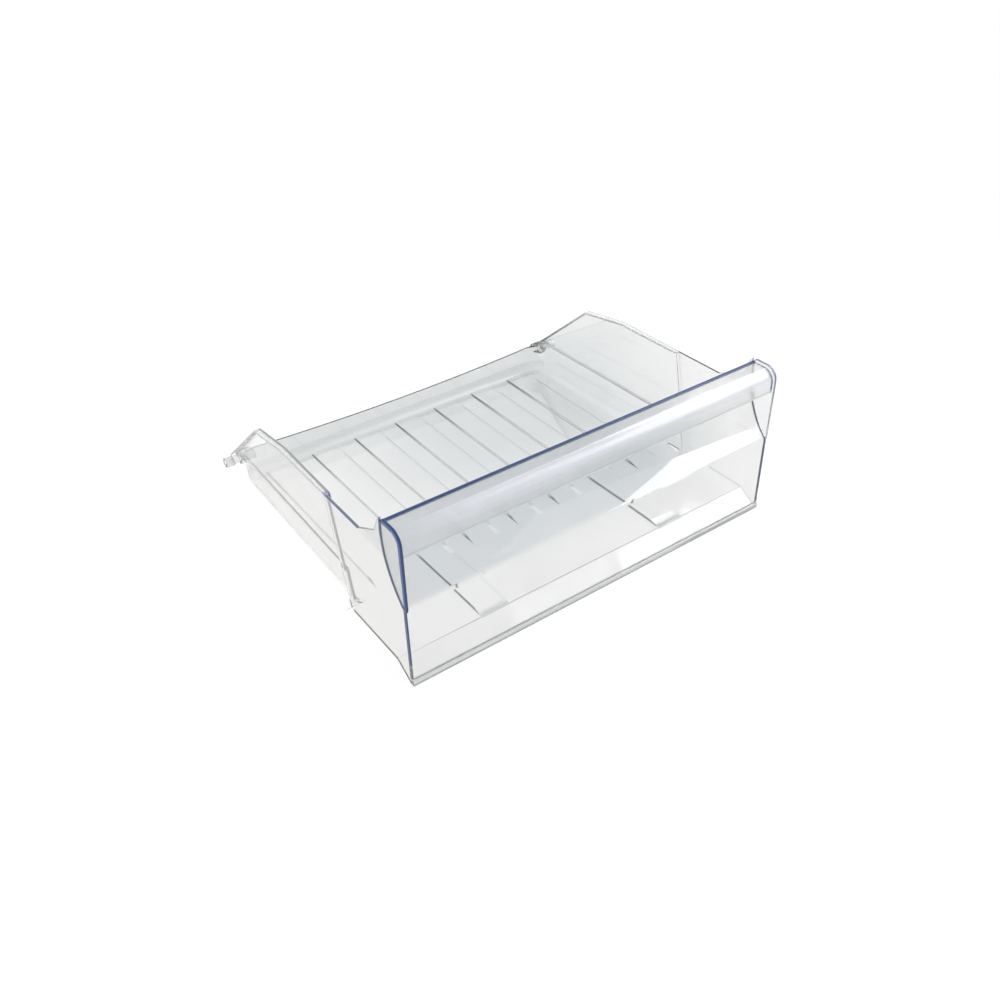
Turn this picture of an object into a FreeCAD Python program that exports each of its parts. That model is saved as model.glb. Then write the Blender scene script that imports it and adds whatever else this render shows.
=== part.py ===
import FreeCAD, Part
import math
import os
from types import SimpleNamespace

import Sketcher

# Refrigerator drawer: clear moulded tray, front panel with finger scoop, hooked grip, two guide pegs.
# X runs across the front, Y from the front to the back, Z up from the toe. Lengths in millimetres.

SIZES = {
    "overall_width": 460,
    "overall_depth": 396,
    "overall_height": 179,
    "sheet": 2.5,
    "panel_sheet": 3,
    "panel_setback": 1.5,
    "bar_height": 7,
    "toe_start": 5,
    "toe_end": 28,
    "floor_height": 14,
    "rim_height": 141,
    "crease_foot": 117,
    "crease_head": 143.5,
    "shoulder": 3.4,
    "rear_taper": 4,
    "tub_front": 100,
    "ledge_height": 56,
    "tub_corner": 22,
    "tub_fillet": 11,
    "rim_bend": 237,
    "peak_y": 302,
    "peak_z": 131,
    "tail_back": 1,
    "tail_z": 53,
    "horn_foot": 77,
    "horn_waist_y": 45,
    "horn_top_y": 37,
    "horn_drop": 4,
    "dip_half": 205,
    "dip_height": 45,
    "dip_end": 51,
    "ridge_pitch": 58.7,
    "ridge_width": 34.8,
    "ridge_height": 2,
    "ridge_front": 125,
    "ridge_back": 8,
    "ridge_ramp": 14,
    "scoop_centre_y": -64,
    "scoop_below": 16,
    "scoop_radius": 95,
    "lip_drop": 25,
    "lip_bend": 14,
    "lip_seat": 1,
    "cap_sheet": 3,
    "cap_rim": 2.5,
    "cap_rise": 3.5,
    "cap_tail": 4,
    "peg_back": 8,
    "peg_z": 48.1,
    "peg_radius": 6,
    "peg_length": 17.5,
    "peg_bore": 3.5,
    "peg_bore_depth": 10,
    "neck_radius": 5,
    "neck_length": 7.5,
    "spigot_radius": 3.5,
    "spigot_length": 7.5,
    "boss_wall": 1.8,
    "boss_proud": 0.9,
    "curve_gap": 0.3,
    "spigot_gap": 0.15,
    "spigot_end_gap": 0.5,
}


class Size:
    """A length known both as a number and as a formula over the sheet's cells."""

    def __init__(self, value, formula):
        self.value = float(value)
        self.formula = formula

    def __add__(self, other):
        other = as_size(other)
        return Size(self.value + other.value, f"({self.formula} + {other.formula})")

    def __sub__(self, other):
        other = as_size(other)
        return Size(self.value - other.value, f"({self.formula} - {other.formula})")

    def __mul__(self, other):
        other = as_size(other)
        return Size(self.value * other.value, f"({self.formula} * {other.formula})")

    def __truediv__(self, other):
        other = as_size(other)
        return Size(self.value / other.value, f"({self.formula} / {other.formula})")

    def __neg__(self):
        return Size(-self.value, f"(0 - {self.formula})")

    def root(self):
        return Size(math.sqrt(self.value), f"sqrt({self.formula})")


def as_size(number):
    return number if isinstance(number, Size) else Size(number, f"({float(number)})")


def leg(hypotenuse, side):
    """The other leg of a right triangle."""
    return (hypotenuse * hypotenuse - side * side).root()


doc = FreeCAD.newDocument("refrigerator_drawer")
sheet = doc.addObject("Spreadsheet::Sheet", "Sizes")
for row, (name, value) in enumerate(SIZES.items(), start=1):
    sheet.set(f"A{row}", name)
    sheet.set(f"B{row}", str(value))
    sheet.setAlias(f"B{row}", name)
doc.recompute()
d = SimpleNamespace(**{name: Size(value, f"Sizes.{name}") for name, value in SIZES.items()})


def new_body(name):
    """A body in the drawer's frame, whose origin is the bottom centre of the drawer's box."""
    body = doc.addObject("PartDesign::Body", name)
    body.Label = name
    return body


def place(body, x, y, z, turn=0):
    body.Placement.Rotation = FreeCAD.Rotation(FreeCAD.Vector(0, 0, 1), turn)
    body.setExpression("Placement.Base.x", as_size(x).formula)
    body.setExpression("Placement.Base.y", (as_size(y) - d.overall_depth / 2).formula)
    body.setExpression("Placement.Base.z", as_size(z).formula)


def origin_feature(body, role):
    return next(item for item in body.Origin.OriginFeatures if item.Role == role)


def new_sketch(body, name, role, lift=None):
    sketch = body.newObject("Sketcher::SketchObject", name)
    sketch.AttachmentSupport = [(origin_feature(body, role), "")]
    sketch.MapMode = "FlatFace"
    if lift is not None:
        sketch.setExpression("AttachmentOffset.Base.z", lift.formula)
    return sketch


def bind(sketch, name, constraint, size):
    sketch.renameConstraint(sketch.addConstraint(constraint), name)
    sketch.setExpression(f"Constraints.{name}", size.formula)


def arc_between(start, end, radius, turn):
    """Arc from start to end; turn is 1 counter-clockwise and -1 clockwise."""
    chord = end - start
    side = FreeCAD.Vector(-chord.y, chord.x, 0).normalize()
    height = math.sqrt(radius ** 2 - (chord.Length / 2) ** 2)
    centre = (start + end) / 2 + side * height * turn
    first, last = (start, end) if turn > 0 else (end, start)
    angles = [math.atan2(point.y - centre.y, point.x - centre.x) for point in (first, last)]
    return Part.ArcOfCircle(Part.Circle(centre, FreeCAD.Vector(0, 0, 1), radius), *angles)


def outline(body, name, role, corners, arcs=None, lift=None):
    """Closed outline bound to the sheet; arcs maps a corner's number to (radius, turn)."""
    sketch = new_sketch(body, name, role, lift)
    arcs = arcs or {}
    corners = [(as_size(u), as_size(v)) for u, v in corners]
    points = [FreeCAD.Vector(u.value, v.value, 0) for u, v in corners]
    count = len(points)
    for i in range(count):
        start, end = points[i], points[(i + 1) % count]
        if i in arcs:
            sketch.addGeometry(arc_between(start, end, arcs[i][0].value, arcs[i][1]))
        else:
            sketch.addGeometry(Part.LineSegment(start, end))
    ends = [(2, 1) if i in arcs and arcs[i][1] < 0 else (1, 2) for i in range(count)]
    for i in range(count):
        after = (i + 1) % count
        sketch.addConstraint(Sketcher.Constraint("Coincident", i, ends[i][1], after, ends[after][0]))
    for i, (u, v) in enumerate(corners):
        bind(sketch, f"across_{i}", Sketcher.Constraint("DistanceX", -1, 1, i, ends[i][0], u.value), u)
        bind(sketch, f"along_{i}", Sketcher.Constraint("DistanceY", -1, 1, i, ends[i][0], v.value), v)
    for i, (radius, turn) in arcs.items():
        bind(sketch, f"radius_{i}", Sketcher.Constraint("Radius", i, radius.value), radius)
    return sketch


def disc(body, name, role, u, v, radius, lift=None):
    sketch = new_sketch(body, name, role, lift)
    sketch.addGeometry(Part.Circle(FreeCAD.Vector(u.value, v.value, 0), FreeCAD.Vector(0, 0, 1), radius.value))
    bind(sketch, "across", Sketcher.Constraint("DistanceX", -1, 1, 0, 3, u.value), u)
    bind(sketch, "along", Sketcher.Constraint("DistanceY", -1, 1, 0, 3, v.value), v)
    bind(sketch, "radius", Sketcher.Constraint("Radius", 0, radius.value), radius)
    return sketch


def pad(body, name, profile, length, both=False, taper=0):
    feature = body.newObject("PartDesign::Pad", name)
    feature.Profile = profile
    feature.SideType = "Symmetric" if both else "One side"
    feature.TaperAngle = taper
    feature.setExpression("Length", as_size(length).formula)
    return feature


def pocket(body, name, profile, length, both=False):
    feature = body.newObject("PartDesign::Pocket", name)
    feature.Profile = profile
    feature.SideType = "Symmetric" if both else "One side"
    feature.setExpression("Length", as_size(length).formula)
    return feature


def fillet(body, name, base, radius, wanted):
    doc.recompute()
    feature = body.newObject("PartDesign::Fillet", name)
    edges = [f"Edge{i}" for i, edge in enumerate(base.Shape.Edges, start=1) if wanted(edge.BoundBox)]
    feature.Base = (base, edges)
    feature.setExpression("Radius", radius.formula)
    return feature


def tub_plan(body, name, half_front, half_rear, front, rear, corner, lift):
    """Plan of the rear section: straight sides that draw in towards the back, optional round corners."""
    if corner is None:
        corners = [(-half_front, front), (half_front, front), (half_rear, rear), (-half_rear, rear)]
        return outline(body, name, "XY_Plane", corners, lift=lift)
    corners = [
        (-half_front, front),
        (half_front, front),
        (half_rear, rear - corner),
        (half_rear - corner, rear),
        (-(half_rear - corner), rear),
        (-half_rear, rear - corner),
    ]
    return outline(body, name, "XY_Plane", corners, {2: (corner, 1), 4: (corner, 1)}, lift)


half_width = d.overall_width / 2
floor_top = d.floor_height + d.sheet
panel_rear = d.panel_setback + d.panel_sheet

# Side walls of the rear section, outside faces: the ears stand one sheet outside the tub below them.
ear_front = half_width - d.shoulder
ear_rear = ear_front - d.rear_taper
tub_half_front = ear_front - d.sheet
tub_half_rear = ear_rear - d.sheet

# Rear end, measured from the back: end of the side flange, guide peg, end of the floor's ridges.
tail_y = d.overall_depth - d.tail_back
peg_y = d.overall_depth - d.peg_back
ridge_rear = d.overall_depth - d.ridge_back
peg_seat = ear_rear + d.boss_proud

# Scoop: front face of the panel, its rear face, and the edge of the cheeks behind it.
scoop_centre_z = d.overall_height - d.scoop_below
scoop_rear = d.scoop_radius + d.panel_sheet
cheek_arc = scoop_rear + d.curve_gap
grip_arc = d.scoop_radius - d.curve_gap
lip_top = d.overall_height - d.cap_rise
lip_edge = lip_top - d.lip_drop

# Horn: the cheek's free corner above the side walls, with its waist halfway up.
horn_top_z = d.overall_height - d.horn_drop
horn_waist_z = (d.rim_height + horn_top_z) / 2


def scoop_y(radius, z):
    return d.scoop_centre_y + leg(radius, z - scoop_centre_z)


def scoop_z(radius, y):
    return scoop_centre_z - leg(radius, y - d.scoop_centre_y)


# Crease: the slanted shoulder where the wide front section steps in to the rear section.
crease_lean = (d.crease_head - d.crease_foot) / (d.rim_height - d.floor_height)


def crease_y(z):
    return d.crease_foot + crease_lean * (z - d.floor_height)


# Toe: the floor drops down a slope to the bar that carries the front panel.
toe_run = d.toe_end - d.toe_start
toe_lean = toe_run / d.floor_height
toe_shift = d.sheet * (toe_run * toe_run + d.floor_height * d.floor_height).root() / d.floor_height
toe_bar_top = (panel_rear - d.toe_start + toe_shift) / toe_lean
toe_crease = d.toe_start - toe_shift + toe_lean * floor_top


def make_cavity():
    """The room inside the tray, cut out of it in one step so that every wall keeps its sheet."""
    body = new_body("cavity")
    inner_corner = d.tub_corner - d.sheet
    plan = tub_plan(body, "TubRoomPlan", tub_half_front - d.sheet, tub_half_rear - d.sheet, d.tub_front,
                    d.overall_depth - d.sheet, inner_corner, floor_top)
    room = pad(body, "TubRoom", plan, d.ledge_height)
    fillet(body, "TubRoomFillet", room, d.tub_fillet - d.sheet,
           lambda box: box.ZMax < floor_top.value + 0.1 and box.YMax > d.tub_front.value + 1)
    plan = tub_plan(body, "EarRoomPlan", ear_front - d.sheet, ear_rear - d.sheet, d.tub_front,
                    d.overall_depth + 20, None, d.ledge_height + d.sheet)
    pad(body, "EarRoom", plan, d.overall_height)
    top = d.overall_height + 20
    corners = [
        (panel_rear, toe_bar_top),
        (toe_crease, floor_top),
        (crease_y(floor_top) - d.sheet, floor_top),
        (crease_y(top) - d.sheet, top),
        (-10, top),
        (-10, d.bar_height + 2),
        (panel_rear, d.bar_height + 2),
    ]
    profile = outline(body, "FrontRoomProfile", "YZ_Plane", corners)
    pad(body, "FrontRoom", profile, d.overall_width - d.sheet * 2, both=True)
    return body


def make_tray(cavity):
    """Floor, toe, cheeks, side walls with flanges, ledges and back wall as one moulding."""
    body = new_body("tray")
    plan = tub_plan(body, "TubPlan", tub_half_front, tub_half_rear, d.tub_front, d.overall_depth,
                    d.tub_corner, d.floor_height)
    tub = pad(body, "Tub", plan, d.ledge_height - d.floor_height)
    fillet(body, "TubFillet", tub, d.tub_fillet,
           lambda box: box.ZMax < d.floor_height.value + 0.1 and box.YMax > d.tub_front.value + 1)
    plan = tub_plan(body, "EarPlan", ear_front, ear_rear, d.tub_front, d.overall_depth, None, d.ledge_height)
    pad(body, "Ears", plan, d.rim_height - d.ledge_height)

    tail_lean = (tail_y - d.peak_y) / (d.peak_z - d.tail_z)
    beyond = d.overall_depth + 10
    beyond_z = d.tail_z - (beyond - tail_y) / tail_lean
    corners = [
        (d.rim_bend, d.rim_height),
        (d.peak_y, d.peak_z),
        (beyond, beyond_z),
        (beyond, d.rim_height + 10),
        (d.rim_bend, d.rim_height + 10),
    ]
    profile = outline(body, "RimProfile", "YZ_Plane", corners)
    pocket(body, "RimCut", profile, d.overall_width + 20, both=True)

    corners = [
        (0, 0),
        (d.toe_start, 0),
        (d.toe_end, d.floor_height),
        (d.crease_foot, d.floor_height),
        (d.crease_head, d.rim_height),
        (d.horn_foot, d.rim_height),
        (d.horn_waist_y, horn_waist_z),
        (d.horn_top_y, horn_top_z),
        (scoop_y(cheek_arc, d.overall_height), d.overall_height),
        (panel_rear, scoop_z(cheek_arc, panel_rear)),
        (panel_rear, d.bar_height),
        (0, d.bar_height),
    ]
    profile = outline(body, "FrontProfile", "YZ_Plane", corners, {8: (cheek_arc, -1)})
    pad(body, "FrontSection", profile, d.overall_width, both=True)

    rim = [
        (d.crease_head, d.rim_height),
        (d.rim_bend, d.rim_height),
        (d.peak_y, d.peak_z),
        (tail_y, d.tail_z),
    ]
    under = [(y, z - d.sheet) for y, z in reversed(rim[1:])]
    start = (crease_y(d.rim_height - d.sheet), d.rim_height - d.sheet)
    profile = outline(body, "FlangeProfile", "YZ_Plane", rim + under + [start])
    pad(body, "Flange", profile, d.overall_width, both=True)

    boss = disc(body, "BossProfile", "YZ_Plane", peg_y, d.peg_z, d.peg_radius + d.boss_wall)
    pad(body, "Boss", boss, peg_seat * 2, both=True)

    cut = body.newObject("PartDesign::Boolean", "CavityCut")
    cut.Type = "Cut"
    cut.Group = [cavity]

    corners = [
        (-d.dip_half, d.dip_end),
        (d.dip_half, d.dip_end),
        (d.dip_half, d.rim_height),
        (-d.dip_half, d.rim_height),
    ]
    dip = d.dip_end - d.dip_height
    radius = (d.dip_half * d.dip_half + dip * dip) / (dip * 2)
    profile = outline(body, "BackDipProfile", "XZ_Plane", corners, {0: (radius, 1)})
    pocket(body, "BackDip", profile, d.overall_depth * 3, both=True)

    def ridge(name, centre, front, rear):
        half = d.ridge_width / 2
        corners = [(centre - half, front), (centre + half, front), (centre + half, rear), (centre - half, rear)]
        plan = outline(body, name + "Plan", "XY_Plane", corners, lift=floor_top)
        return pad(body, name, plan, d.ridge_height, taper=-30)

    def ramp(name, front):
        """The ridges rise from the floor over a long slope instead of a step."""
        corners = [
            (front - 5, floor_top),
            (front, floor_top),
            (front + d.ridge_ramp, floor_top + d.ridge_height),
            (front + d.ridge_ramp, floor_top + d.ridge_height * 2),
            (front - 5, floor_top + d.ridge_height * 2),
        ]
        profile = outline(body, name + "Profile", "YZ_Plane", corners)
        pocket(body, name, profile, tub_half_front * 2, both=True)

    first = ridge("Ridge", -(d.ridge_pitch * 3), d.ridge_front, ridge_rear)
    row = body.newObject("PartDesign::LinearPattern", "RidgeRow")
    row.Originals = [first]
    row.Direction = (origin_feature(body, "X_Axis"), [""])
    row.Occurrences = 7
    row.setExpression("Length", (d.ridge_pitch * 6).formula)
    body.Tip = row
    ramp("RidgeRamp", d.ridge_front)
    long_rear = d.ridge_front + d.ridge_ramp * 1.5
    long_ridge = ridge("LongRidge", -(d.ridge_pitch * 2), toe_crease, long_rear)
    pair = body.newObject("PartDesign::Mirrored", "LongRidgePair")
    pair.Originals = [long_ridge]
    pair.MirrorPlane = (origin_feature(body, "YZ_Plane"), [""])
    body.Tip = pair
    ramp("LongRidgeRamp", toe_crease)

    depth = d.spigot_length + d.spigot_end_gap
    for side, name in ((-1, "Left"), (1, "Right")):
        lift = peg_seat - depth if side > 0 else -peg_seat
        hole = disc(body, f"PegHole{name}Profile", "YZ_Plane", peg_y, d.peg_z,
                    d.spigot_radius + d.spigot_gap, lift=lift)
        feature = pocket(body, f"PegHole{name}", hole, depth)
        feature.Reversed = True
    place(body, 0, 0, 0)
    return body


def make_front_panel():
    """Upright wall that curves back into the finger scoop and ends in a free top edge."""
    body = new_body("front_panel")
    corners = [
        (d.panel_setback, d.bar_height),
        (panel_rear, d.bar_height),
        (panel_rear, scoop_z(scoop_rear, panel_rear)),
        (scoop_y(scoop_rear, lip_top), lip_top),
        (scoop_y(d.scoop_radius, lip_top), lip_top),
        (d.panel_setback, scoop_z(d.scoop_radius, d.panel_setback)),
    ]
    arcs = {2: (scoop_rear, 1), 4: (d.scoop_radius, -1)}
    profile = outline(body, "PanelProfile", "YZ_Plane", corners, arcs)
    pad(body, "Panel", profile, d.overall_width, both=True)
    place(body, 0, 0, 0)
    return body


def make_grip():
    """Hooked lip over the scoop with a lens-shaped cap at each end that stands proud of the lip."""
    body = new_body("grip")
    front = d.cap_rim
    bend_y = front + d.lip_bend
    bend_z = lip_top - d.lip_bend
    under = lip_top - d.sheet
    corners = [
        (scoop_y(grip_arc, lip_top), lip_top),
        (bend_y, lip_top),
        (front, bend_z),
        (front, lip_edge),
        (front + d.sheet, lip_edge),
        (front + d.sheet, bend_z),
        (bend_y, under),
        (scoop_y(grip_arc, under), under),
    ]
    arcs = {1: (d.lip_bend, 1), 5: (d.lip_bend - d.sheet, -1), 7: (grip_arc, 1)}
    profile = outline(body, "LipProfile", "YZ_Plane", corners, arcs)
    pad(body, "Lip", profile, d.overall_width - (d.cap_sheet - d.lip_seat) * 2, both=True)

    seam_z = scoop_z(grip_arc, d.panel_setback)
    cap_bend = d.lip_bend
    corners = [
        (scoop_y(grip_arc, d.overall_height), d.overall_height),
        (cap_bend, d.overall_height),
        (0, d.overall_height - cap_bend),
        (0, lip_edge),
        (d.panel_setback / 3, seam_z),
        (d.panel_setback, seam_z - d.cap_tail),
        (d.panel_setback, seam_z),
    ]
    arcs = {1: (cap_bend, 1), 6: (grip_arc, 1)}
    for name, lift in (("CapLeft", -half_width), ("CapRight", half_width - d.cap_sheet)):
        profile = outline(body, name + "Profile", "YZ_Plane", corners, arcs, lift)
        pad(body, name, profile, d.cap_sheet)
    place(body, 0, 0, 0)
    return body


def make_guide_peg(name, side):
    """Hollow stub with a neck, on a spigot that plugs into the boss at the rear corner of the tray."""
    body = new_body(name)
    lead = as_size(1)
    corners = [
        (-d.spigot_length, 0),
        (-d.spigot_length, d.spigot_radius - lead),
        (lead - d.spigot_length, d.spigot_radius),
        (0, d.spigot_radius),
        (0, d.neck_radius),
        (d.neck_length, d.neck_radius),
        (d.neck_length, d.peg_radius),
        (d.peg_length - lead, d.peg_radius),
        (d.peg_length, d.peg_radius - lead),
        (d.peg_length, d.peg_bore),
        (d.peg_length - d.peg_bore_depth, d.peg_bore),
        (d.peg_length - d.peg_bore_depth, 0),
    ]
    profile = outline(body, name + "_profile", "XZ_Plane", corners)
    turned = body.newObject("PartDesign::Revolution", name + "_turned")
    turned.Profile = profile
    turned.ReferenceAxis = (profile, ["H_Axis"])
    turned.Angle = 360
    place(body, peg_seat if side > 0 else -peg_seat, peg_y, d.peg_z, 0 if side > 0 else 180)
    return body


nodes = [
    make_tray(make_cavity()),
    make_front_panel(),
    make_grip(),
    make_guide_peg("guide_peg_left", -1),
    make_guide_peg("guide_peg_right", 1),
]
doc.recompute()

for item in doc.Objects:
    state = " ".join(item.State)
    if "Invalid" in state or "Error" in state:
        raise RuntimeError(f"{item.Label} is not valid: {state}")
    if item.isDerivedFrom("Sketcher::SketchObject") and item.solve() != 0:
        raise RuntimeError(f"{item.Label} does not solve")
for body in nodes:
    if body.Shape.isNull() or not body.Shape.isValid() or len(body.Shape.Solids) != 1:
        raise RuntimeError(f"{body.Label} is not one sound solid")

os.makedirs("parts", exist_ok=True)
for body in nodes:
    body.Shape.exportStep(f"parts/{body.Label}.step")
    box = body.Shape.BoundBox
    print(body.Label, round(body.Shape.Volume / 1000, 1), "cm3", [round(v, 2) for v in (
        box.XMin, box.XMax, box.YMin, box.YMax, box.ZMin, box.ZMax)])
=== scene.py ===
import math

import bmesh
import bpy
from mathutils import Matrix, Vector


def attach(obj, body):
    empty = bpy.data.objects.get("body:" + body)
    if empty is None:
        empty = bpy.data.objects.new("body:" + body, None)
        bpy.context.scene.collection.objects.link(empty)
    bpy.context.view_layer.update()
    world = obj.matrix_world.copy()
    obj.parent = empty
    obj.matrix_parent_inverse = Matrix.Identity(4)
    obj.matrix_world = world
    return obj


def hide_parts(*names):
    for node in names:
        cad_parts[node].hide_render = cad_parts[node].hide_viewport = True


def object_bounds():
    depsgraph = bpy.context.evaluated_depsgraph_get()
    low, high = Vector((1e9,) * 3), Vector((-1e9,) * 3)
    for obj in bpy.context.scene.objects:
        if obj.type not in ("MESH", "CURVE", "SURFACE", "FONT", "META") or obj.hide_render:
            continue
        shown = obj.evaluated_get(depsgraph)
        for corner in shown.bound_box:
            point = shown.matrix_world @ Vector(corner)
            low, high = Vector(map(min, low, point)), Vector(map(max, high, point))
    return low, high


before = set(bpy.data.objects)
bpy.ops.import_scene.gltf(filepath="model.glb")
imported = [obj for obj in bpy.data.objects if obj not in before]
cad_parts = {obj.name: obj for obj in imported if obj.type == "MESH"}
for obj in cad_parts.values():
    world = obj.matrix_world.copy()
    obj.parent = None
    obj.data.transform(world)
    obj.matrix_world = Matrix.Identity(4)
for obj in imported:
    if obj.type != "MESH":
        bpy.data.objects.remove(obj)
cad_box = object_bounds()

# Camera: above the drawer's left front corner, looking down into it. Its place, turn and focal length were
# solved from the drawer's corners and rims in the photograph, without lens shift.
camera = bpy.data.objects.new("camera", bpy.data.cameras.new("camera"))
bpy.context.scene.collection.objects.link(camera)
camera.location = (-0.535966, -0.785841, 0.695407)
camera.rotation_euler = [math.radians(turn) for turn in (53.7334, 1.2893, -35.8078)]
camera.data.sensor_width = 36
camera.data.lens = 36.3707
bpy.context.scene.camera = camera
bpy.context.scene.view_settings.view_transform = "Standard"

# Table and room: a plain sheet of white paper under the drawer and plain white walls around it. The drawer
# stands on its toe bar and on the rear end of its floor, so the paper lies 2 degrees off level.
TOE_Y = cad_box[0][1]
REAR_FOOT_Y = 0.187
REAR_FOOT_Z = 0.014
PAPER_WIDTH = 12
PAPER_GAP = 0.0002
ROOM_LIGHT = 0.75
PAPER_GLOW = 0.92


def linear(colour):
    """An sRGB hex colour as linear numbers."""
    parts = [int(colour[i:i + 2], 16) / 255 for i in (1, 3, 5)]
    parts = [part / 12.92 if part <= 0.04045 else ((part + 0.055) / 1.055) ** 2.4 for part in parts]
    return parts + [1.0]


def put(tree, kind, settings=None, links=None):
    """Adds a shader node. Settings in small letters are the node's own, and others are its sockets."""
    node = tree.nodes.new(kind)
    for name, value in (settings or {}).items():
        if isinstance(name, str) and name.islower():
            setattr(node, name, value)
        else:
            node.inputs[name].default_value = value
    for name, (source, output) in (links or {}).items():
        tree.links.new(source.outputs[output], node.inputs[name])
    return node


def seen_directly(tree):
    """1 for rays that show the background itself: from the camera, as a mirror image or through plastic."""
    path = put(tree, "ShaderNodeLightPath")
    seen = path, "Is Camera Ray"
    for other in ("Is Glossy Ray", "Is Transmission Ray"):
        seen = put(tree, "ShaderNodeMath", {"operation": "MAXIMUM"}, {0: seen, 1: (path, other)}), 0
    return seen


room = bpy.data.worlds.new("white_room")
bpy.context.scene.world = room
room.use_nodes = True
tree = room.node_tree
tree.nodes.clear()
lighting = put(tree, "ShaderNodeBackground", {"Color": linear("#ffffff"), "Strength": ROOM_LIGHT})
walls = put(tree, "ShaderNodeBackground", {"Color": linear("#ffffff"), "Strength": 1.0})
backdrop = put(tree, "ShaderNodeMixShader", {}, {0: seen_directly(tree), 1: (lighting, 0), 2: (walls, 0)})
put(tree, "ShaderNodeOutputWorld", {}, {"Surface": (backdrop, 0)})

bpy.ops.object.select_all(action="DESELECT")
bpy.ops.mesh.primitive_plane_add(size=PAPER_WIDTH)
table = bpy.context.object
table.name = "table"
for corner in table.data.vertices:
    corner.co.z = REAR_FOOT_Z * (corner.co.y - TOE_Y) / (REAR_FOOT_Y - TOE_Y) - PAPER_GAP

# the paper glows faintly where it is seen, so that it stays white around the drawer's soft shadow
white = bpy.data.materials.new("white_paper_sheet")
white.use_nodes = True
tree = white.node_tree
tree.nodes.clear()
paper = put(tree, "ShaderNodeBsdfDiffuse", {"Color": linear("#e7e7e7")})
shade = put(tree, "ShaderNodeBsdfDiffuse", {"Color": linear("#616161")})
glow = put(tree, "ShaderNodeEmission", {"Strength": PAPER_GLOW})
shown = put(tree, "ShaderNodeAddShader", {}, {0: (shade, 0), 1: (glow, 0)})
surface = put(tree, "ShaderNodeMixShader", {}, {0: seen_directly(tree), 1: (paper, 0), 2: (shown, 0)})
put(tree, "ShaderNodeOutputMaterial", {}, {"Surface": (surface, 0)})
table.data.materials.append(white)

# Lamps: one wide soft box upright on the right of the drawer, whose mirror image makes the white bands on the
# lip, the scoop and the toe, and weaker ones around it, which let those bands fade out to the left. On the
# lip, painted sheen adds to that band.
for name, place, size, power in (
    ("soft_box_right", (1.2, -0.62, 1.2), (1.8, 1.1), 24.0),
    ("soft_box_rear_right", (1.2, 0.54, 1.4), (0.52, 0.7), 4.4),
    ("soft_box_above", (1.2, -0.95, 2.2), (1.1, 0.8), 5.5),
    ("soft_box_front_right", (1.2, -1.98, 1.2), (0.9, 1.1), 1.4),
):
    lamp = bpy.data.objects.new(name, bpy.data.lights.new(name, "AREA"))
    bpy.context.scene.collection.objects.link(lamp)
    lamp.data.shape = "RECTANGLE"
    lamp.data.size, lamp.data.size_y = size
    lamp.data.energy = power
    lamp.location = place
    lamp.rotation_euler = Vector((-1, 0, 0)).to_track_quat("-Z", "Y").to_euler()

# Tray: floor, toe slope, cheeks, flanged side walls, ledges, ridges and back wall in one shot of clear
# polystyrene. Corners of the mould are broken by half a millimetre, so every edge is a soft line.
BROKEN_CORNER = 0.0005
SHOULDER_ROUND = 0.0016
RIDGE_PITCH = 0.0587
RIDGE_WIDTH = 0.0348
RIDGE_HEIGHT = 0.002
RIDGE_FOOT_Z = 0.0165
RIDGE_TOP_Z = RIDGE_FOOT_Z + RIDGE_HEIGHT
RIDGES_LEFT = RIDGE_PITCH * 3 + RIDGE_WIDTH / 2
RIDGES_HALF = RIDGES_LEFT + RIDGE_HEIGHT
RIDGE_TIP_Y = -0.073
TOE_TOP_Y = -0.1705
LEDGE_X = 0.2165
LEDGE_FOOT_Z = 0.056
LEDGE_TOP_Z = 0.0585
WALL_X = 0.222
FLANGE_X = 0.230
SHEET = 0.0025
SHOULDER_Y = -0.0545
SHOULDER_LEAN = 0.209
HORN_FOOT_Y = -0.121
RIM_Z = 0.141
RIM_BEND_Y = 0.039
PEAK_Y = 0.104
PEAK_Z = 0.131
TAIL_Y = 0.197
TAIL_Z = 0.053
# how far a coloured place reaches past the faces that it covers, and how far it fades out
SKIN = 0.0002
SHARP = 0.0001
# clear polystyrene: light that goes through, its refraction, and what the mould and use leave on it
SEE_THROUGH = 0.965
REFRACTION = 1.57
FLOW_CLOUD = 0.0625
CLOUDIEST = 0.97
HANDLED_PATCH = 0.0111
HANDLED = 0.035
HAZE = 0.015
SATIN = 0.3
# sockets of a Mix node, which have the same names for numbers and for colours
NUMBER_A, NUMBER_B, COLOUR_A, COLOUR_B, COLOUR_OUT = 2, 3, 6, 7, 2


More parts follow.
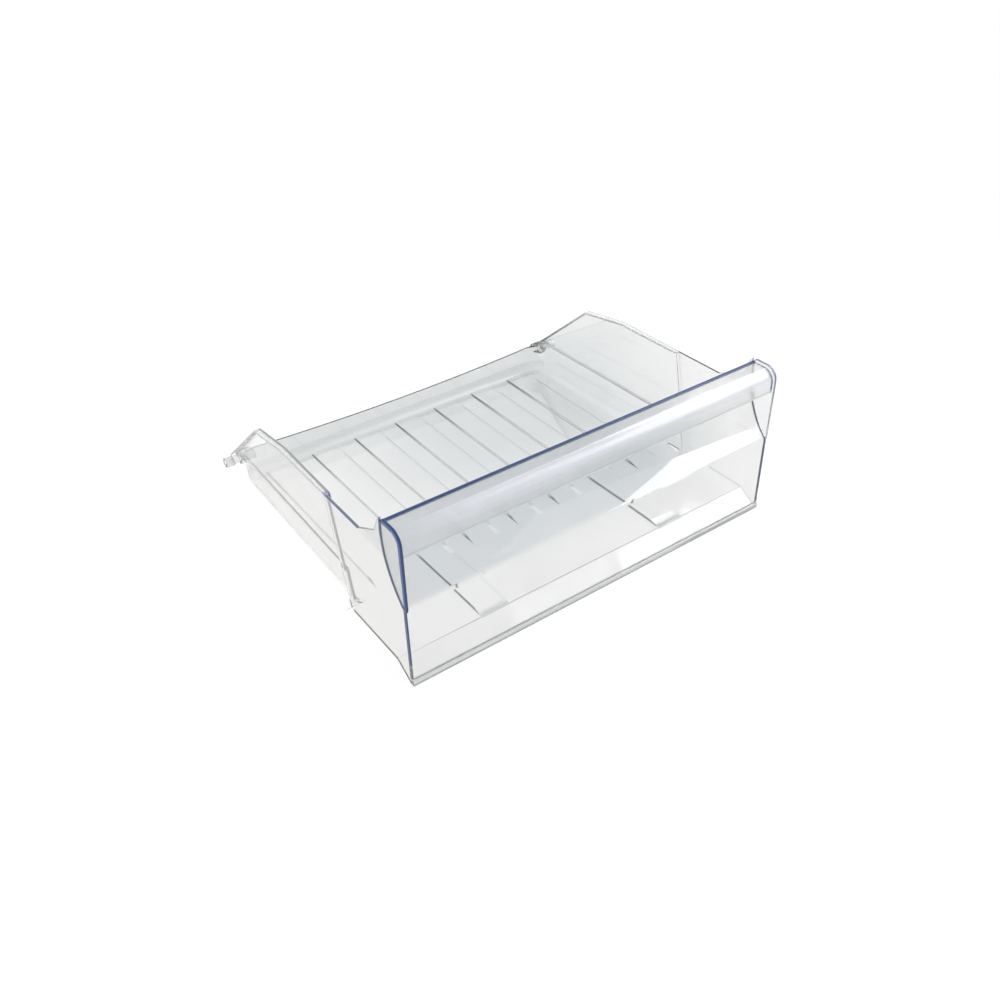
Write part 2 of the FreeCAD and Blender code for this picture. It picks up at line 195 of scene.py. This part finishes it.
def moulding(node, name, corner, softer=None, radius=0.0):
    """A copy of the CAD node with its corners broken, and some edges rounded by a radius, in its place."""
    bpy.ops.object.select_all(action="DESELECT")
    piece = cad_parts[node].copy()
    piece.data = piece.data.copy()
    piece.name = piece.data.name = name
    bpy.context.scene.collection.objects.link(piece)
    bpy.context.view_layer.objects.active = piece
    piece.select_set(True)
    bpy.ops.object.mode_set(mode="EDIT")
    bpy.ops.mesh.select_all(action="SELECT")
    bpy.ops.mesh.customdata_custom_splitnormals_clear()
    bpy.ops.mesh.remove_doubles(threshold=0.00002)
    bpy.ops.mesh.dissolve_limited(angle_limit=math.radians(0.3))
    if softer:
        bpy.ops.mesh.select_mode(type="EDGE")
        bpy.ops.mesh.select_all(action="DESELECT")
        mesh = bmesh.from_edit_mesh(piece.data)
        for edge in mesh.edges:
            edge.select = softer(edge.verts[0].co, edge.verts[1].co)
        bmesh.update_edit_mesh(piece.data)
        bpy.ops.mesh.bevel(offset=radius, segments=5, affect="EDGES")
    bpy.ops.object.mode_set(mode="OBJECT")
    bpy.ops.object.shade_smooth_by_angle(angle=math.radians(35))
    bevel = piece.modifiers.new("broken_corners", "BEVEL")
    bevel.limit_method = "ANGLE"
    bevel.angle_limit = math.radians(24)
    bevel.width = corner
    bevel.segments = 2
    bevel.use_clamp_overlap = False
    bpy.ops.object.modifier_apply(modifier=bevel.name)
    bpy.ops.object.shade_smooth_by_angle(angle=math.radians(50))
    flats = piece.modifiers.new("flat_faces_stay_flat", "WEIGHTED_NORMAL")
    flats.mode = "FACE_AREA"
    flats.weight = 50
    flats.keep_sharp = True
    bpy.ops.object.modifier_apply(modifier=flats.name)
    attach(piece, "root")
    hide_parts(node)
    return piece


def clear_polystyrene(name, body, tints=(), far=None, haze=HAZE, see_through=SEE_THROUGH, satin=None):
    """Injection-moulded clear polystyrene: a glassy sheet with a faint tint of its own, and painted shade,
    glints and edge glow in places.

    Each tint, whether the sheet's own tone, painted light or painted shade, is a colour, how much light still
    goes through, and its place. Each lies over the ones before.
    """
    material = bpy.data.materials.new(name)
    material.use_nodes = True
    tree = material.node_tree
    plastic = tree.nodes["Principled BSDF"]
    plastic.inputs["IOR"].default_value = REFRACTION
    plastic.inputs["Transmission Weight"].default_value = see_through
    at = put(tree, "ShaderNodeTexCoord")
    axes = put(tree, "ShaderNodeSeparateXYZ", {}, {0: (at, "Object")})
    x, y, z = [(axes, axis) for axis in "XYZ"]

    # the flow of the melt leaves a faint cloudiness, in clouds about 60 mm across
    size = {"Scale": 1 / FLOW_CLOUD, "Detail": 2.0}
    flow = put(tree, "ShaderNodeTexNoise", size, {"Vector": (at, "Object")})
    thin = {"From Min": 0.3, "From Max": 0.7, "To Min": CLOUDIEST, "To Max": 1.0}
    cloud = put(tree, "ShaderNodeMapRange", thin, {"Value": (flow, 0)})
    clouded = {"data_type": "RGBA", "blend_type": "MULTIPLY", 0: 1.0, COLOUR_A: linear(body)}
    colour = put(tree, "ShaderNodeMix", clouded, {COLOUR_B: (cloud, 0)})
    if far:
        ends = {"data_type": "RGBA", COLOUR_A: linear(body), COLOUR_B: linear(far[0])}
        tone = put(tree, "ShaderNodeMix", ends, {0: (far[1](tree, x, y, z), 0)})
        tree.links.new(tone.outputs[COLOUR_OUT], colour.inputs[COLOUR_A])

    clear = None
    for tint, tint_see_through, place in tints:
        mask = place(tree, x, y, z), 0
        under = {0: mask, COLOUR_A: (colour, COLOUR_OUT)}
        colour = put(tree, "ShaderNodeMix", {"data_type": "RGBA", COLOUR_B: linear(tint)}, under)
        under = {0: mask, NUMBER_A: (clear, 0)} if clear else {0: mask}
        ends = {"data_type": "FLOAT", NUMBER_A: see_through, NUMBER_B: tint_see_through}
        clear = put(tree, "ShaderNodeMix", ends, under)
    tree.links.new(colour.outputs[COLOUR_OUT], plastic.inputs["Base Color"])
    if clear:
        tree.links.new(clear.outputs[0], plastic.inputs["Transmission Weight"])

    # handling dulls the polish a little, in patches about 11 mm across
    size = {"Scale": 1 / HANDLED_PATCH, "Detail": 3.0}
    hands = put(tree, "ShaderNodeTexNoise", size, {"Vector": (at, "Object")})
    wear = {"From Min": 0.3, "From Max": 0.8, "To Min": haze, "To Max": haze + HANDLED}
    rough = put(tree, "ShaderNodeMapRange", wear, {"Value": (hands, 0)})
    if satin:
        under = {0: (satin(tree, x, y, z), 0), NUMBER_A: (rough, 0)}
        rough = put(tree, "ShaderNodeMix", {"data_type": "FLOAT", NUMBER_B: SATIN}, under)
    tree.links.new(rough.outputs[0], plastic.inputs["Roughness"])
    return material


def where(tree, *zones, inside=None):
    """1 inside all the zones, 0 outside. A zone is a value, its lowest and highest limit, and its fade."""
    for value, lowest, highest, *fade in zones:
        soft = fade[0] if fade else SHARP
        for limit, step in ((lowest, soft), (highest, -soft)):
            if limit is None:
                continue
            ramp = {"From Min": limit - step, "From Max": limit + step}
            part = put(tree, "ShaderNodeMapRange", ramp, {"Value": value})
            if inside:
                part = put(tree, "ShaderNodeMath", {"operation": "MULTIPLY"}, {0: (part, 0), 1: (inside, 0)})
            inside = part
    return inside


def across(tree, x):
    """Distance from the drawer's middle plane, the same on its left and its right."""
    return put(tree, "ShaderNodeMath", {"operation": "ABSOLUTE"}, {0: x}), 0


def turned(tree, axis):
    """How far the surface looks along an axis, either way: 1 for square on, 0 for edge on."""
    surface = put(tree, "ShaderNodeNewGeometry")
    normal = put(tree, "ShaderNodeSeparateXYZ", {}, {0: (surface, "Normal")})
    return put(tree, "ShaderNodeMath", {"operation": "ABSOLUTE"}, {0: (normal, axis)}), 0


def far_floor_painted_shade(tree, x, y, z):
    """The rear right of the floor and walls, greyer with painted shade, as they look in the photograph."""
    left, left_fade, front, front_fade, top, top_fade = -0.10, 0.12, -0.045, 0.105, 0.10, 0.12
    return where(tree, (x, left, None, left_fade), (y, front, None, front_fade), (z, None, top, top_fade))


def back_wall_painted_shade(tree, x, y, z):
    """The low back wall and the rear end of the floor, which painted shade makes a little greyer than the
    sides.
    """
    fade = 0.008
    return where(tree, (y, REAR_FOOT_Y, None, fade))


def back_rim(tree, x, y, z):
    """The top edge of the back wall."""
    front, end, depth = 0.188, 0.212, 0.0009
    return where(tree, (y, front, None), (z, LEDGE_TOP_Z - depth, None), (across(tree, x), None, end))


def rear_fillet(tree, x, y, z):
    """The rounded corner between floor and back wall, which shows as a soft band and not as a sharp glint."""
    front, top, fade = 0.181, 0.030, 0.002
    return where(tree, (y, front, None, fade), (z, None, top, fade))


def ridge_sides(tree, x, y, z):
    """The steep flanks of the floor's ridges."""
    steep, fade = 0.5, 0.1
    return where(
        tree,
        (z, RIDGE_FOOT_Z - SKIN, RIDGE_TOP_Z + SKIN),
        (y, None, REAR_FOOT_Y),
        (across(tree, x), None, RIDGES_HALF),
        (turned(tree, "X"), steep, None, fade),
    )


def ridge_end_painted_shade(tree, x, y, z):
    """The rear ends of the ridges' flanks, where painted shade makes their lines darkest."""
    front, fade = 0.152, 0.038
    return where(tree, (y, front, None, fade), inside=ridge_sides(tree, x, y, z))


def ridge_front_painted_shade(tree, x, y, z):
    """The front ends of the ridges' flanks, painted with shade so that they show through the scoop as short
    dark lines.
    """
    length, fade = 0.018, 0.004
    return where(tree, (y, None, RIDGE_TIP_Y + length, fade), inside=ridge_sides(tree, x, y, z))


def from_ridge(tree, x):
    """Distance from the left foot of the nearest ridge on the left."""
    from_first = put(tree, "ShaderNodeMath", {"operation": "ADD", 1: RIDGES_LEFT}, {0: x}), 0
    return put(tree, "ShaderNodeMath", {"operation": "FLOORED_MODULO", 1: RIDGE_PITCH}, {0: from_first}), 0


def ridge_crown_painted_shade(tree, x, y, z):
    """The right-hand top corners of the ridges, painted with shade so that they show as faint grey lines."""
    left, right, depth = RIDGE_WIDTH - 0.0024, RIDGE_WIDTH - 0.0008, 0.0007
    front, rear, fade = RIDGE_TIP_Y + 0.010, 0.165, 0.004
    return where(
        tree,
        (from_ridge(tree, x), left, right),
        (z, RIDGE_TOP_Z - depth, RIDGE_TOP_Z + SKIN),
        (y, front, rear, fade),
        (across(tree, x), None, RIDGES_HALF),
    )


def ridge_tip_painted_glints(tree, x, y, z):
    """The right-hand front corners of the ridges, painted white as small glints."""
    left, front, rear = RIDGE_WIDTH - 0.0066, RIDGE_TIP_Y - 0.0005, RIDGE_TIP_Y + 0.016
    last_gap = 0.030
    return where(
        tree,
        (from_ridge(tree, x), left, RIDGE_WIDTH + SKIN),
        (z, RIDGE_FOOT_Z + SHARP, RIDGE_TOP_Z + SKIN),
        (y, front, rear),
        (across(tree, x), None, RIDGES_HALF - last_gap),
    )


def toe_tip_painted_glints(tree, x, y, z):
    """The front corners of the two long ridges, at the top of the toe slope, painted white as small glints.
    """
    front, rear, foot = TOE_TOP_Y - 0.0035, TOE_TOP_Y + 0.0045, RIDGE_FOOT_Z - 0.0008
    inner = RIDGE_PITCH * 2 - RIDGE_WIDTH / 2 + 0.0005
    outer = RIDGE_PITCH * 2 + RIDGE_WIDTH / 2 - 0.0003
    return where(tree, (y, front, rear), (z, foot, RIDGE_TOP_Z), (across(tree, x), inner, outer))


def shoulder_steps(tree, x, y, z):
    """The two narrow leaning steps between the cheeks and the side walls behind them."""
    front, rear, top, facing, fade = -0.0887, -0.0812, RIM_Z - 0.0028, 0.3, 0.1
    lean = put(tree, "ShaderNodeMath", {"operation": "MULTIPLY", 1: -SHOULDER_LEAN}, {0: z})
    along = put(tree, "ShaderNodeMath", {"operation": "ADD"}, {0: y, 1: (lean, 0)})
    return where(
        tree,
        ((along, 0), front, rear),
        (z, RIDGE_FOOT_Z, top),
        (across(tree, x), WALL_X, None),
        (turned(tree, "Y"), facing, None, fade),
    )


def ledge_lips(tree, x, y, z):
    """The inner corners of the two ledges half way up the side walls."""
    foot, top = LEDGE_FOOT_Z - 0.001, LEDGE_TOP_Z + 0.001
    inner, outer = LEDGE_X - 0.003, LEDGE_X + 0.003
    return where(tree, (z, foot, top), (across(tree, x), inner, outer))


def peg_seats(tree, x, y, z):
    """The thick corners that hold the guide pegs."""
    inner, front, rear, foot, top = 0.213, 0.181, 0.199, 0.036, 0.060
    return where(tree, (across(tree, x), inner, None), (y, front, rear), (z, foot, top))


def flange_top(tree, x, y, z):
    """The flange on top of each side wall, which runs level, dips to its peak and falls to its tail."""
    level, foot, root = z, RIM_Z - SHEET - SKIN, WALL_X - 0.008
    dip, fall = (RIM_BEND_Y, PEAK_Y, RIM_Z - PEAK_Z), (PEAK_Y, TAIL_Y, PEAK_Z - TAIL_Z)
    for start, end, drop in (dip, fall):
        ramp = {"From Min": start, "From Max": end, "To Min": 0.0, "To Max": drop}
        dropped = put(tree, "ShaderNodeMapRange", ramp, {"Value": y})
        level = put(tree, "ShaderNodeMath", {"operation": "ADD"}, {0: level, 1: (dropped, 0)}), 0
    return where(tree, (level, foot, None), (y, SHOULDER_Y, None), (across(tree, x), root, None))


def flange_edges(tree, x, y, z):
    """The outer edge of the flange along the side walls."""
    depth = 0.0007
    return where(tree, (across(tree, x), FLANGE_X - depth, None), (y, SHOULDER_Y, None))


def flange_front_painted_glow(tree, x, y, z):
    """The front end of the left flange, over the step to the cheek, painted lavender as edge glow."""
    front, rear, foot = SHOULDER_Y - 0.004, SHOULDER_Y + 0.0015, RIM_Z - SHEET - 0.0004
    return where(tree, (y, front, rear), (z, foot, None), (x, None, -WALL_X))


def toe_bar_front(tree, x, y, z):
    """The front face of the toe bar under the panel."""
    depth = 0.0005
    return where(tree, (y, None, TOE_Y + depth))


def toe_bar_foot(tree, x, y, z):
    """The foot of the toe bar, on which the drawer stands."""
    top = 0.0004
    return where(tree, (z, None, top))


def horns(tree, x, y, z):
    """The two horns of the cheeks, which rise beside the ends of the grip."""
    foot, fade = RIM_Z + 0.002, 0.0015
    return where(tree, (z, foot, None, fade))


def cheek_rim_painted_glow(tree, x, y, z):
    """The rim of the left cheek, in front of the shoulder, painted with edge glow deeper in colour than the
    right one.
    """
    foot, top, inner = RIM_Z - 0.0022, RIM_Z + 0.0004, -0.2265
    return where(tree, (z, foot, top), (y, HORN_FOOT_Y, SHOULDER_Y), (x, None, inner))


def cheek_corner(tree, x, y, z):
    """The outer corner of that rim, where the light that the cheek has gathered comes out."""
    side, foot = FLANGE_X - 0.0009, RIM_Z - 0.0012
    return where(tree, (across(tree, x), side, None), (z, foot, None), inside=cheek_rim_painted_glow(tree, x, y, z))


def shoulder(a, b):
    """The upright corners of the narrow step between each cheek and the side wall behind it."""
    least, front, rear = 0.1, -0.1, -0.05
    return abs(a.z - b.z) > least and front < min(a.y, b.y) and max(a.y, b.y) < rear


tray = moulding("tray", "tray_moulding", BROKEN_CORNER, shoulder, SHOULDER_ROUND)
tray_tints = (
    ("#dcdfdf", 0.965, back_wall_painted_shade),
    ("#ffffff", 0.0, ridge_sides),
    ("#7f888c", 0.2, ridge_end_painted_shade),
    ("#90989b", 0.3, ridge_front_painted_shade),
    ("#ffffff", 0.3, toe_tip_painted_glints),
    ("#b7bec0", 0.35, ridge_crown_painted_shade),
    ("#ffffff", 0.05, ridge_tip_painted_glints),
    ("#ffffff", 0.85, shoulder_steps),
    ("#ffffff", 0.75, ledge_lips),
    ("#ffffff", 0.8, peg_seats),
    ("#ffffff", 0.5, back_rim),
    ("#f8f9f9", 0.7, flange_top),
    ("#e8eaea", 0.4, flange_edges),
    ("#d8dcdc", 0.5, toe_bar_front),
    ("#f0f1f1", 0.5, toe_bar_foot),
    ("#f2f4f6", 0.8, horns),
    ("#aebadd", 0.6, cheek_rim_painted_glow),
    ("#55668c", 0.2, cheek_corner),
    ("#a9b2d2", 0.5, flange_front_painted_glow),
)
# the far colour is painted shade, greyer towards the rear right
tray.data.materials[0] = clear_polystyrene(
    "moulded_clear_polystyrene_tray", "#f8f8f7", tray_tints, far=("#d9dddf", far_floor_painted_shade), satin=rear_fillet
)

# Front panel: a 3 mm sheet of clear polystyrene that stands on the toe bar and curves back into the scoop. It
# is welded along its foot and sides, and its free top edge gathers the light, so it looks navy blue.
CREASE_ROUND = 0.002
PANEL_TOP_Z = 0.1755
PANEL_HALF = 0.230
PANEL_FOOT_Z = 0.007
CREASE_Z = 0.0945


def scoop(tree, x, y, z):
    """The part of the sheet that curves back behind the grip, but for its right end, greyer with painted
    shade.
    """
    foot_fade, right, right_fade = 0.002, 0.13, 0.06
    return where(tree, (z, CREASE_Z, None, foot_fade), (x, None, right, right_fade))


def scoop_left_end_painted_glow(tree, x, y, z):
    """The sheet's left end behind the grip's cap, where it curves back, painted deep navy as edge glow."""
    depth = 0.0012
    return where(tree, (x, None, depth - PANEL_HALF), (z, CREASE_Z, None))


def panel_foot(tree, x, y, z):
    """The foot of the sheet, welded to the toe bar."""
    top = PANEL_FOOT_Z + 0.0008
    return where(tree, (z, None, top))


def panel_edge_painted_glow(tree, x, y, z):
    """The upright ends of the sheet, below the grip, painted navy as edge glow."""
    depth, foot, fade = 0.0014, 0.024, 0.004
    return where(tree, (across(tree, x), PANEL_HALF - depth, None), (z, foot, CREASE_Z, fade))


def panel_top_painted_glow(tree, x, y, z):
    """The sheet's top edge and the first millimetre below it, painted navy as the glow of the light that the
    edge gathers.
    """
    depth, fade = 0.0013, 0.0003
    return where(tree, (z, PANEL_TOP_Z - depth, None, fade))


def crease(a, b):
    """The two long corners where the upright face turns into the scoop."""
    least, foot, top = 0.4, 0.090, 0.096
    return abs(a.x - b.x) > least and foot < min(a.z, b.z) and max(a.z, b.z) < top


panel = moulding("front_panel", "front_panel_moulding", BROKEN_CORNER, crease, CREASE_ROUND)
panel_tints = (
    ("#dfe3e6", 0.965, scoop),
    ("#ffffff", 0.2, panel_foot),
    ("#204894", 0.3, panel_edge_painted_glow),
    ("#00307a", 0.05, scoop_left_end_painted_glow),
    ("#003872", 0.02, panel_top_painted_glow),
)
panel.data.materials[0] = clear_polystyrene("moulded_clear_polystyrene_panel", "#f8f9f9", panel_tints)

# Grip: the hooked lip over the scoop and its two end caps, moulded in one piece of clear polystyrene and
# welded on from the front. Each cap is a lens between the scoop's curve and its own, with a navy blue rim of
# painted edge glow.
CAP_INNER_X = 0.2268
CAP_BEND_Y = -0.184
CAP_BEND_Z = 0.165
CAP_BEND_RADIUS = 0.014
CAP_RIM = 0.0036
LIP_FOOT_Z = 0.1505
LIP_BACK_Y = -0.168
LIP_BEND_Y = -0.1835
LIP_BEND_Z = 0.1645
GRIP_HAZE = 0.14


def lip_bend_painted_sheen(tree, x, y, z):
    """The bend of the lip, which looks milky from painted sheen beside the lamp's real reflection, less so
    towards the left.
    """
    left, left_fade, foot_fade, rear_fade = -0.19, 0.04, 0.003, 0.001
    return where(
        tree,
        (x, left, None, left_fade),
        (z, LIP_BEND_Z, None, foot_fade),
        (y, None, LIP_BEND_Y, rear_fade),
        (across(tree, x), None, CAP_INNER_X),
    )


def lip_foot(tree, x, y, z):
    """The lower edge of the lip."""
    top = LIP_FOOT_Z + 0.0016
    return where(tree, (z, LIP_FOOT_Z - SKIN, top), (across(tree, x), None, CAP_INNER_X))


def lip_back_painted_glow(tree, x, y, z):
    """The rear edge of the lip, which lies against the front panel's top edge, painted navy as edge glow."""
    front, fade, foot = LIP_BACK_Y - 0.0012, 0.0003, 0.172
    return where(tree, (y, front, None, fade), (z, foot, None), (across(tree, x), None, CAP_INNER_X))


def lip_right_end_painted_glow(tree, x, y, z):
    """The corner between the lip and the right end cap, painted blue as edge glow."""
    left, right = CAP_INNER_X - 0.0008, CAP_INNER_X + SHARP
    foot, fade = LIP_FOOT_Z + 0.004, 0.001
    return where(tree, (x, left, right), (y, None, LIP_BEND_Y, fade), (z, foot, None, fade))


def left_cap(tree, x, y, z):
    """The whole of the left end cap, which looks a little whiter than the sheet."""
    return where(tree, (x, None, -CAP_INNER_X))


def cap_outline_painted_glow(tree, x, y, z):
    """The strip of the left end cap along its rounded front and top, where it is nearest to its edge, painted
    blue as edge glow.
    """
    reach = 0.02
    past_bend = {}
    for axis, value, bend, way in ((0, y, CAP_BEND_Y, -1), (1, z, CAP_BEND_Z, 1)):
        ramp = {"From Min": bend, "From Max": bend + way * reach, "To Min": 0.0, "To Max": reach}
        past_bend[axis] = put(tree, "ShaderNodeMapRange", ramp, {"Value": value}), 0
    corner = put(tree, "ShaderNodeCombineXYZ", {}, past_bend)
    out = put(tree, "ShaderNodeVectorMath", {"operation": "LENGTH"}, {0: (corner, 0)})
    rim, fade = CAP_BEND_RADIUS - CAP_RIM, 0.0002
    return where(tree, ((out, "Value"), rim, None, fade), (x, None, -CAP_INNER_X))


def cap_rim_painted_glow(tree, x, y, z):
    """The edges of the end caps, which are seen along the sheet, painted lavender as edge glow."""
    edge_on, fade = 0.65, 0.1
    return where(tree, (across(tree, x), CAP_INNER_X, None), (turned(tree, "X"), None, edge_on, fade))


def cap_tails(tree, x, y, z):
    """The narrow lower halves of those edges, which gather less light."""
    top, fade = 0.148, 0.006
    return where(tree, (z, None, top, fade), inside=cap_rim_painted_glow(tree, x, y, z))


def left_rim_painted_glow(tree, x, y, z):
    """The rims of the left cap, where the painted edge glow is deepest in colour."""
    return where(tree, (x, None, 0.0), inside=cap_rim_painted_glow(tree, x, y, z))


grip = moulding("grip", "grip_moulding", BROKEN_CORNER)
grip_tints = (
    ("#f5f6fb", 0.66, lip_bend_painted_sheen),
    ("#f4f6f7", 0.4, lip_foot),
    ("#003872", 0.04, lip_back_painted_glow),
    ("#4b58a6", 0.4, lip_right_end_painted_glow),
    ("#ffffff", 0.75, left_cap),
    ("#1c4a9c", 0.25, cap_outline_painted_glow),
    ("#8f97c8", 0.5, cap_rim_painted_glow),
    ("#c4c8d2", 0.6, cap_tails),
    ("#00306c", 0.03, left_rim_painted_glow),
)
grip.data.materials[0] = clear_polystyrene(
    "moulded_clear_polystyrene_grip", "#f7f8f9", grip_tints, haze=GRIP_HAZE
)

# Guide pegs: hollow stubs at the rear lower corners that ride in the refrigerator's rails. They are short
# cylinders of the tray's clear polystyrene, with a blind hole in the end, and look cloudier than the tray.
PEG_CORNER = 0.0003
PEG_HAZE = 0.05
PEG_SEE_THROUGH = 0.8
for side in ("left", "right"):
    peg = moulding(f"guide_peg_{side}", f"guide_peg_{side}_moulding", PEG_CORNER)
    peg.data.materials[0] = clear_polystyrene(
        f"moulded_clear_polystyrene_peg_{side}", "#ffffff", haze=PEG_HAZE, see_through=PEG_SEE_THROUGH
    )
